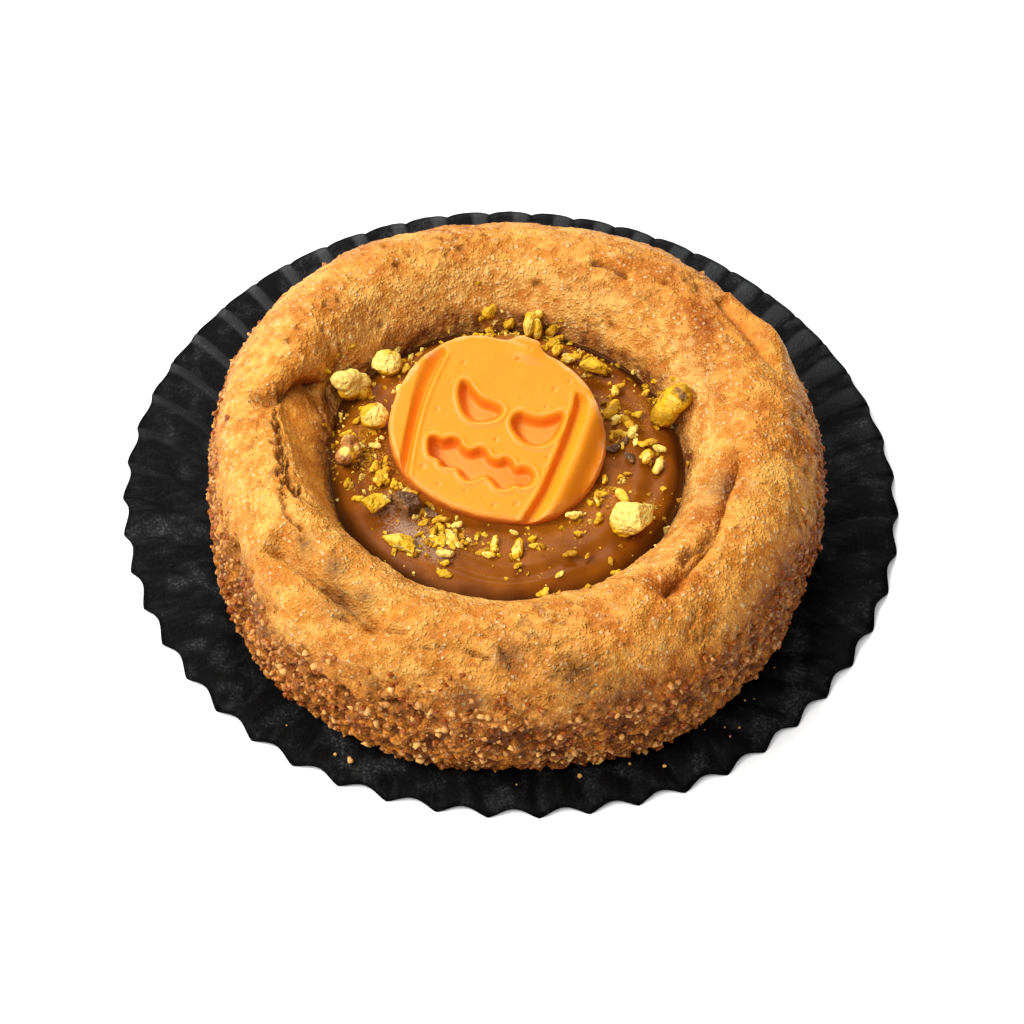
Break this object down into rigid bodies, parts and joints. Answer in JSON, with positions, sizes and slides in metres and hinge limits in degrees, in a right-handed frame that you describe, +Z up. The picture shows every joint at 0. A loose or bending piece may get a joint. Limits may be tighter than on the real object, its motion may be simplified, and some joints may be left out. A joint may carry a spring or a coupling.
{
  "type": "filled cookie in a paper case",
  "caption": "Round thick cookie with a well of chocolate cream, a moulded orange chocolate pumpkin and chopped pistachios, on its flattened black fluted paper case.",
  "frame": {"origin": "middle of the paper case on the surface it stands on", "axes": "+Z up, +Y away from the side that the cookie is seen from, +X to the right from there"},
  "size_m": [0.12, 0.12, 0.0253],
  "materials": {
    "black_paper": "matt black greaseproof paper with grey fibres",
    "baked_dough": "golden brown baked dough with sugar grains, rough",
    "chocolate_cream": "smooth milk chocolate cream, satin to glossy",
    "orange_chocolate": "moulded orange chocolate, satin",
    "pistachio": "chopped pistachio kernel, yellow green, dull",
    "pistachio_skin": "chopped pistachio with its brown skin, dull"
  },
  "bodies": {
    "root": {"case": "black_paper", "cookie": "baked_dough", "cream": "chocolate_cream", "pumpkin": "orange_chocolate", "nut_01": "pistachio", "nut_02": "pistachio", "nut_03": "pistachio", "nut_04": "pistachio_skin", "nut_05": "pistachio", "nut_06": "pistachio_skin", "nut_07": "pistachio", "nut_08": "pistachio", "nut_09": "pistachio", "nut_10": "pistachio", "nut_11": "pistachio"}
  },
  "joints": []
}
